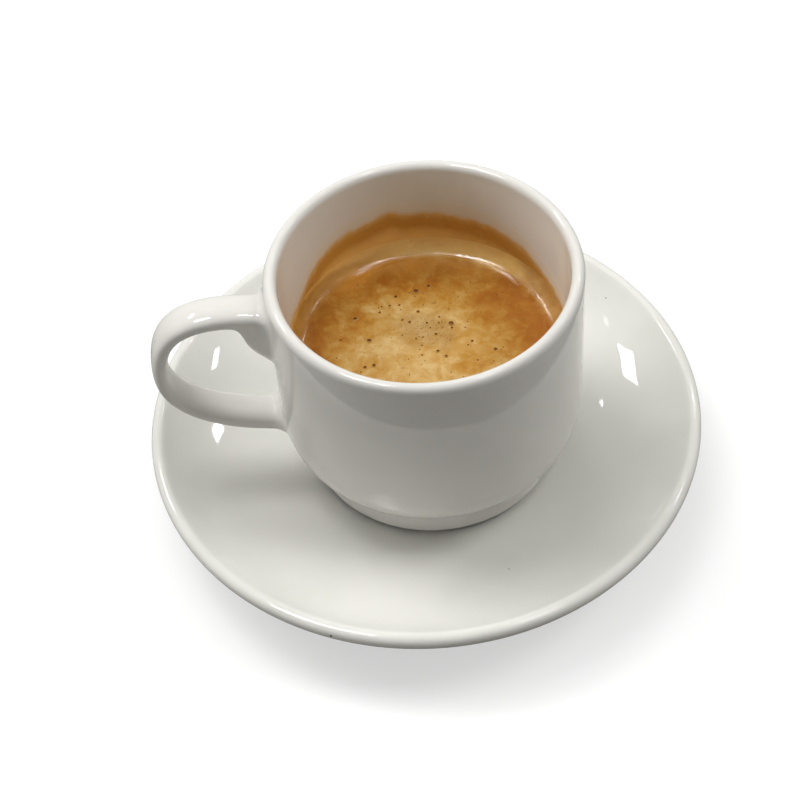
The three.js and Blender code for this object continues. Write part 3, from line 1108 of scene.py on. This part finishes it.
@dataclass
class Drink:
    """The coffee and the crema on it, which both reach just into the cup's wall."""

    cup: Cup
    level: float = 29.7
    crema_thickness: float = 2.7
    flat_radius: float = 26.2
    collar: float = 3.1
    bite: float = 0.35
    crema_segments: int = 180
    coffee_segments: int = 96
    foam_unevenness: float = 0.07
    foam_grain: float = 260.0
    foam_seed: float = 4.0

    def crema_profile(self) -> list[Pair]:
        """Lists the crema's section, its top side first.

        Returns:
            Points of radius and height.
        """
        level, flat = self.level, self.flat_radius
        top, bottom = level + self.collar, level - self.crema_thickness
        wall = self.cup.inner_radius(top)
        rise = [(flat - 1.6, level), (flat + 0.7, level), (wall - 0.7, level + 0.9), (wall - 0.05, top)]
        side = self.cup.inner_radius(bottom) + self.bite
        return [
            *straight((0.0, level), (flat - 2.2, level), 42), *bezier_run(rise, 24), (wall + 0.04, top + 0.1),
            (wall + self.bite, top), *straight((side, bottom), (0.0, bottom), 8),
        ]

    def coffee_profile(self) -> list[Pair]:
        """Lists the coffee's section, its top side first.

        Returns:
            Points of radius and height.
        """
        top = self.level - self.crema_thickness - 0.02
        side = self.cup.inner_radius(top) + self.bite
        floor = self.cup.floor_curve(-self.bite, 18)
        low = floor[-1][1]
        under = straight((self.cup.floor_radius - 2.0, low), (0.0, low), 4)
        return [*straight((0.0, top), (side, top), 12), *floor, *under]

    def build(self, turner: RevolveTree, crema: bpy.types.Material, coffee: bpy.types.Material) -> None:
        """Args:
            turner: The Geometry Nodes that turn their sections.
            crema: The crema's finish.
            coffee: The coffee's finish.
        """
        centre = (*self.cup.centre, self.cup.base)
        waves = (self.foam_unevenness, self.foam_grain, self.foam_seed)
        foam = turner.turn("crema_marbled", self.crema_profile(), centre, crema, self.crema_segments, *waves)
        liquid = turner.turn("coffee_body", self.coffee_profile(), centre, coffee, self.coffee_segments)
        declare(foam, Slot.CREMA, "crema")
        declare(liquid, Slot.COFFEE, "espresso")


@dataclass
class Film:
    """The thin brown film on the cup's inner wall, higher at the back where the cup was tilted to drink or pour."""

    cup: Cup
    bottom: float = 30.4
    proud: float = 0.035
    sunk: float = 0.3
    margin: float = 5.0
    taper: float = 2.4
    fade: float = 4.5
    columns: int = 288
    rows: int = 22
    tops: tuple[Pair, ...] = (
        (4.0, 33.3), (10.0, 33.4), (16.0, 33.9), (22.0, 34.6), (29.0, 35.8), (33.0, 36.5), (39.0, 37.3), (46.0, 38.0),
        (52.0, 38.4), (58.0, 38.7), (65.0, 39.4), (72.0, 39.9), (80.0, 40.3), (92.0, 40.2), (97.0, 41.2), (102.0, 40.9),
        (106.0, 40.4), (112.0, 40.0), (116.0, 40.1), (122.0, 39.6), (128.0, 38.8), (134.0, 37.7), (140.0, 36.4),
        (146.0, 34.8), (152.0, 33.6), (158.0, 33.1), (190.0, 33.4), (240.0, 34.2), (290.0, 34.0), (330.0, 33.4),
        (364.0, 33.3),
    )

    def top(self, angle: float) -> float:
        """Gives the height of the film's top at an angle in degrees."""
        return float(np.interp(angle if angle >= self.tops[0][0] else angle + 360, *zip(*self.tops)))

    def build(self, finish: bpy.types.Material) -> bpy.types.Object:
        """Args:
            finish: Its finish.

        Returns:
            The film.
        """
        places, depth, faces = [], [], []
        around = 2 * (self.rows + 1)
        for j in range(self.columns):
            angle = 360 * j / self.columns
            top = self.top(angle) + self.margin
            heights = [lerp(self.bottom, top, i / self.rows) for i in range(self.rows + 1)]
            inner = [(z, lerp(self.proud, -self.proud, min(1.0, (top - z) / self.taper))) for z in heights]
            for z, offset in inner + [(z, self.sunk) for z in heights[::-1]]:
                r, a = self.cup.inner_radius(z) + offset, math.radians(angle)
                x, y = r * math.cos(a) + self.cup.centre[0], r * math.sin(a) + self.cup.centre[1]
                places.append((x, y, z + self.cup.base))
                depth.append((top - self.margin + self.fade * 0.2 - z) / self.fade)
            here, there = j * around, (j + 1) % self.columns * around
            for i in range(around):
                k = (i + 1) % around
                faces.append((here + i, here + k, there + k, there + i))
        piece = mesh_object("crema_film", places, faces)
        piece.data.attributes.new("film_depth", "FLOAT", "POINT").data.foreach_set("value", depth)
        face_outwards(piece)
        piece.data.materials.append(finish)
        return declare(piece, Slot.CREMA)


class BubbleTree(ShapeTree):
    """Geometry Nodes that set a low dome on every point, with the point's own size."""

    falloff_base = 2.718
    size_skew = 2.2

    def __init__(self) -> None:
        """Builds the tree."""
        kinds = {"Scatter": "Bool", "Density": "Float", "Patch Centre": "Vector"}
        kinds |= {name: "Float" for name in ("Patch Reach", "Background", "Smallest", "Largest", "Height")}
        super().__init__("Bubble Domes", kinds | {"Rings": "Int", "Sides": "Int", "Seed": "Int"})

    def dome(self) -> Wire:
        """Adds the nodes that make one dome of unit radius.

        Returns:
            The dome.
        """
        make, given = self.make, self.given
        sheet, row, turn = self.sheet(given["Rings"], given["Sides"])
        tilt = row / (given["Rings"] - 1.0) * math.pi
        out, rise = make.math("SINE", tilt), make.math("COSINE", tilt) * given["Height"]
        parts = {"X": out * make.math("COSINE", turn), "Y": out * make.math("SINE", turn), "Z": rise}
        place = make.get("ShaderNodeCombineXYZ", parts)
        shaped = make.get("GeometryNodeSetPosition", {"Geometry": sheet, "Position": place})
        mark = {"Geometry": shaped, "Name": "across", "Value": out}
        marked = make.get("GeometryNodeStoreNamedAttribute", mark, data_type="FLOAT", domain="POINT")
        return make.get("GeometryNodeMergeByDistance", {"Geometry": marked, "Distance": 1e-4})

    def choice(self, kind: str, plain: Wire, strewn: Wire) -> Wire:
        """Adds a Switch node that takes what is strewn in place of what is plain."""
        values = {"Switch": self.given["Scatter"], "False": plain, "True": strewn}
        return self.make.get("GeometryNodeSwitch", values, input_type=kind)

    def shape(self) -> Wire:
        """Adds the nodes that set the domes on the given points, or on points strewn on the given faces.

        Returns:
            The domes.
        """
        make, given = self.make, self.given
        place = make.get("GeometryNodeInputPosition")
        away = make.vector("DISTANCE", place, given["Patch Centre"]) / given["Patch Reach"]
        near = make.math("POWER", self.falloff_base, away * away * -1.0)
        dense = make.math("MAXIMUM", near, given["Background"]) * given["Density"]
        strewing = {"Mesh": given["Geometry"], "Density": dense, "Seed": given["Seed"]}
        strewn = make.get("GeometryNodeDistributePointsOnFaces", strewing)
        named = make.get("GeometryNodeInputNamedAttribute", {"Name": "size"}, data_type="FLOAT")
        draw = make.get("FunctionNodeRandomValue", {"Seed": given["Seed"]}, data_type="FLOAT")
        picked = given["Smallest"] + make.math("POWER", draw, self.size_skew) * (given["Largest"] - given["Smallest"])
        points = self.choice("GEOMETRY", given["Geometry"], strewn)
        half = self.choice("FLOAT", named, picked) * 0.5
        return make.get("GeometryNodeInstanceOnPoints", {"Points": points, "Instance": self.dome(), "Scale": half})


@dataclass
class Bubbles:
    """The bubbles on the crema: the large ones at their places, and fine ones strewn round the middle."""

    drink: Drink
    large: tuple[Triple, ...] = (
        (-0.3, 16.1, 1.5), (2.6, 17.1, 0.95), (-4.8, 15.3, 0.95), (-0.7, 10.1, 0.85), (5.7, 5.4, 1.45), (5.7, 4.2, 0.7),
        (-14.2, 10.5, 1.2), (-12.0, 3.8, 1.15), (-17.9, 5.0, 0.65), (-13.8, -3.5, 0.95), (-11.9, -3.3, 1.05),
        (1.8, -1.8, 0.85), (3.3, -3.5, 0.85), (13.7, -3.5, 1.0), (9.3, -0.3, 0.75), (-1.6, -2.3, 0.55),
        (-4.3, 8.3, 0.65), (-2.9, 7.4, 0.8), (0.7, 6.5, 0.65), (2.1, 3.0, 0.8), (-8.8, 11.4, 0.65), (-4.4, 12.7, 0.65),
        (-6.4, 12.9, 0.6), (-20.5, 16.0, 0.6), (9.6, -5.8, 0.55), (-2.2, 2.5, 0.55), (3.5, 7.7, 0.55), (3.2, 6.1, 0.55),
        (-8.2, 13.0, 0.5), (8.3, -1.2, 0.45), (1.2, 5.0, 0.5), (-1.3, 0.4, 0.5), (-4.9, 4.0, 0.5),
    )
    patch_centre: Pair = (0.2, 6.2)
    patch_reach: float = 8.0
    edge_gap: float = 1.5
    edge_sides: int = 48
    density: float = 3.2e6
    background: float = 0.06
    fine_sizes: Pair = (0.14, 0.5)
    large_dome: tuple[float, int, int] = (0.4, 9, 16)
    fine_dome: tuple[float, int, int] = (0.45, 5, 8)
    seed: int = 7

    def build(self, tree: BubbleTree, dark: bpy.types.Material, fine: bpy.types.Material) -> None:
        """Makes and declares both kinds of bubble.

        Args:
            tree: The Geometry Nodes that set the domes.
            dark: The large bubbles' finish.
            fine: The fine bubbles' finish.
        """
        x, y = self.drink.cup.centre
        level = self.drink.cup.base + self.drink.level
        spots = mesh_object("crema_bubbles", [(a + x, b + y, level) for a, b, _ in self.large])
        sizes = metres(*(size for _, _, size in self.large))
        spots.data.attributes.new("size", "FLOAT", "POINT").data.foreach_set("value", sizes)
        shape = ("Height", "Rings", "Sides")
        plain = {"Scatter": False, "Finish": dark, **dict(zip(shape, self.large_dome))}
        declare(tree.run(spots, plain), Slot.CREMA)
        reach, sides = self.drink.flat_radius - self.edge_gap, self.edge_sides
        turns = [math.tau * i / sides for i in range(sides)]
        edge = [(reach * math.cos(a) + x, reach * math.sin(a) + y, level) for a in turns]
        smallest, largest = metres(*self.fine_sizes)
        declare(tree.run(mesh_object("crema_fine_bubbles", edge, [tuple(range(sides))]), {
            "Scatter": True, "Density": self.density, "Patch Reach": self.patch_reach * MM,
            "Patch Centre": metres(self.patch_centre[0] + x, self.patch_centre[1] + y, level),
            "Background": self.background, "Smallest": smallest, "Largest": largest,
            "Seed": self.seed, "Finish": fine, **dict(zip(shape, self.fine_dome)),
        }), Slot.CREMA)


class Reach(Enum):
    """What a light acts on, the surfaces' own colour or the gloss, with its distance in metres."""

    COLOUR = 1.3
    GLOSS = 1.6


@dataclass
class SoftLight:
    """A rectangular light that faces the cup from a direction, with its size in metres."""

    name: str
    azimuth: float
    elevation: float
    size: Pair
    radiance: float
    target: Triple = (0.0, 0.0, 30.0)
    turn: float = 0.0

    def build(self, reach: Reach) -> bpy.types.Object:
        """Makes the light.

        Args:
            reach: What it acts on.

        Returns:
            The light.
        """
        a, e = math.radians(self.azimuth), math.radians(self.elevation)
        way = Vector((math.cos(a) * math.cos(e), math.sin(a) * math.cos(e), math.sin(e)))
        data = bpy.data.lights.new(self.name, "AREA")
        data.shape = "RECTANGLE"
        data.size, data.size_y = self.size
        data.energy = self.radiance * self.size[0] * self.size[1] * math.pi
        made = linked(self.name, data)
        facing = way.to_track_quat("Z", "Y").to_matrix() @ Matrix.Rotation(math.radians(self.turn), 3, "Z")
        made.matrix_world = Matrix.Translation(Vector(self.target) * MM + way * reach.value) @ facing.to_4x4()
        made.visible_glossy = reach is Reach.GLOSS
        made.visible_diffuse = reach is Reach.COLOUR
        log.info("light %s", self.name)
        return made


@dataclass
class Studio:
    """The table, the lights and the soft light of the room, brighter above and behind than in front."""

    floor_reach: float = 6000.0
    floor_sides: int = 64
    dim_side: Colour = (0.17, 0.166, 0.16, 1.0)
    bright_side: Colour = (0.26, 0.26, 0.265, 1.0)
    bright_way: Triple = (0.0, 0.75, 0.66)
    colour_lights: tuple[tuple, ...] = (
        ("ceiling_left", 118.0, 70.0, (0.7, 0.5), 5.5),
        ("ceiling_lamp", 128.0, 60.0, (0.2, 0.2), 9.0),
        ("upper_left", 135.0, 52.0, (0.5, 0.5), 4.0),
        ("lower_left", 150.0, 40.0, (0.5, 0.5), 5.6),
        ("upper_right", 0.0, 50.0, (0.5, 0.5), 7.7),
        ("lower_right", 10.0, 20.0, (0.8, 0.4), 1.7),
        ("overhead", 90.0, 88.0, (0.5, 0.5), 1.8),
        ("upper_front", -90.0, 66.0, (0.5, 0.5), 0.7),
        ("low_left", 190.0, 14.0, (0.6, 0.3), 4.0),
    )
    gloss_lights: tuple[tuple, ...] = (
        ("tube_left", 172.0, 72.0, (0.12, 0.5), 60.0),
        ("tube_right", -8.0, 75.0, (0.09, 0.22), 45.0),
        ("lamp_back", 103.0, 50.0, (0.035, 0.025), 16.0, (-44.0, 0.0, 50.0)),
        ("window_left_back", 132.5, 46.0, (0.23, 0.14), 26.0, (47.6, 9.6, 11.5), 12.0),
        ("window_far_left", 149.0, 52.0, (0.1, 0.04), 4.0, (45.2, 22.3, 12.4)),
        ("window_right", 21.0, 46.0, (0.18, 0.06), 26.0, (-44.5, 27.3, 13.4)),
        ("window_right_back", 49.0, 43.0, (0.09, 0.1), 26.0, (-46.0, 6.8, 10.6)),
        ("lamp_right_back", 67.0, 39.0, (0.04, 0.04), 16.0, (-39.2, -12.3, 9.0)),
    )

    def _room(self) -> None:
        """Makes the room's light, which changes softly from its dim side to its bright side."""
        world = bpy.data.worlds.new("soft room")
        bpy.context.scene.world = world
        world.use_nodes = True
        make = TreeMaker(world.node_tree)
        way = make.get("ShaderNodeTexCoord", output="Generated")
        share = make.ease(make.vector("DOT_PRODUCT", way, self.bright_way), -0.55, 0.85)
        inputs = {"Color": make.blend(share, self.dim_side, self.bright_side), "Strength": 1.0}
        make.add("ShaderNodeOutputWorld", {"Surface": make.get("ShaderNodeBackground", inputs)})

    def build(self) -> None:
        """Makes the floor, the lights and the room's light."""
        r, sides = self.floor_reach, self.floor_sides
        turns = [math.tau * i / sides for i in range(sides)]
        places = [(0.0, 0.0, 0.0)] + [(r * math.cos(a), r * math.sin(a), 0.0) for a in turns]
        floor = mesh_object("table_top", places, [(0, i, i % sides + 1) for i in range(1, sides + 1)])
        floor.data.materials.append(FloorFinish("pale table").material())
        for reach, rows in ((Reach.COLOUR, self.colour_lights), (Reach.GLOSS, self.gloss_lights)):
            for row in rows:
                SoftLight(*row).build(reach)
        self._room()
        settings = bpy.context.scene.view_settings
        settings.view_transform = "Standard"
        settings.look = "None"


@dataclass
class PhotoCamera:
    """The camera that sees the cup as the photograph does."""

    place: Triple = (-20.95, -236.37, 303.51)
    heading: float = 3.84
    pitch: float = 50.03
    roll: float = 5.07
    focal_pixels: float = 1700.33
    frame_pixels: float = 800.0
    sensor: float = 36.0
    clip: Pair = (0.01, 50.0)

    def build(self) -> bpy.types.Object:
        """Makes the camera and sets it as the scene's.

        Returns:
            The camera.
        """
        yaw, pitch, roll = (math.radians(v) for v in (self.heading, self.pitch, self.roll))
        forward = Vector((math.sin(yaw) * math.cos(pitch), math.cos(yaw) * math.cos(pitch), -math.sin(pitch)))
        right = forward.cross(Vector((0.0, 0.0, 1.0))).normalized()
        down = forward.cross(right)
        across = math.cos(roll) * right + math.sin(roll) * down
        lower = -math.sin(roll) * right + math.cos(roll) * down
        data = bpy.data.cameras.new("photo_camera")
        data.sensor_width = self.sensor
        data.lens = self.focal_pixels / self.frame_pixels * self.sensor
        data.clip_start, data.clip_end = self.clip
        made = linked("photo_camera", data)
        turn = Matrix((across, -lower, -forward)).transposed()
        made.matrix_world = Matrix.Translation(Vector(self.place) * MM) @ turn.to_4x4()
        bpy.context.scene.camera = made
        return made


def main() -> None:
    """Builds the studio and every piece in order."""
    logging.basicConfig(level=logging.INFO, format="%(name)s: %(message)s")
    PhotoCamera().build()
    Studio().build()
    glaze, turner, domes = GlazeGroup(), RevolveTree(), BubbleTree()
    cup, saucer = Cup(), Saucer()
    drink = Drink(cup)
    white, cool, warm = tint(219, 218, 212), tint(213, 213, 206), tint(212, 210, 204)
    cup_glaze = PorcelainFinish(
        "cup glaze", glaze, (tint(216, 214, 208), warm), (*cup.centre, cup.base), 0.85, (23.5, 27.2),
        # Painted shade: the cup's foot ring is given dark tones to stand for the contact shadow where it meets the
        # saucer.
        dry_and_shaded_tones=(tint(66, 62, 53), tint(96, 90, 79)),
    )
    saucer_glaze = PorcelainFinish(
        "saucer glaze", glaze, (white, cool), (0.0, 0.0, 0.0), 0.12, (30.8, 34.7),
        specks=(((-26.5, -53.8, 15.93), 0.3), ((46.4, 27.3, 14.35), 0.18), ((11.8, -39.5, 8.98), 0.18)),
    )
    crema = CremaFinish("marbled crema", (*cup.centre, 0.0), drink.flat_radius, cup.base + drink.level)
    dark = BubbleFinish("dark bubble", tint(98, 60, 20), tint(182, 134, 66))
    fine = BubbleFinish("fine bubble", tint(128, 90, 42), tint(180, 138, 78))
    saucer.build(turner, saucer_glaze.material())
    cup.build(cup_glaze.material())
    drink.build(turner, crema.material(), CoffeeFinish("espresso coffee").material())
    Film(cup).build(FilmFinish("crema film", glaze, (white, warm)).material())
    Bubbles(drink).build(domes, dark.material(), fine.material())


if __name__ == "__main__":
    main()
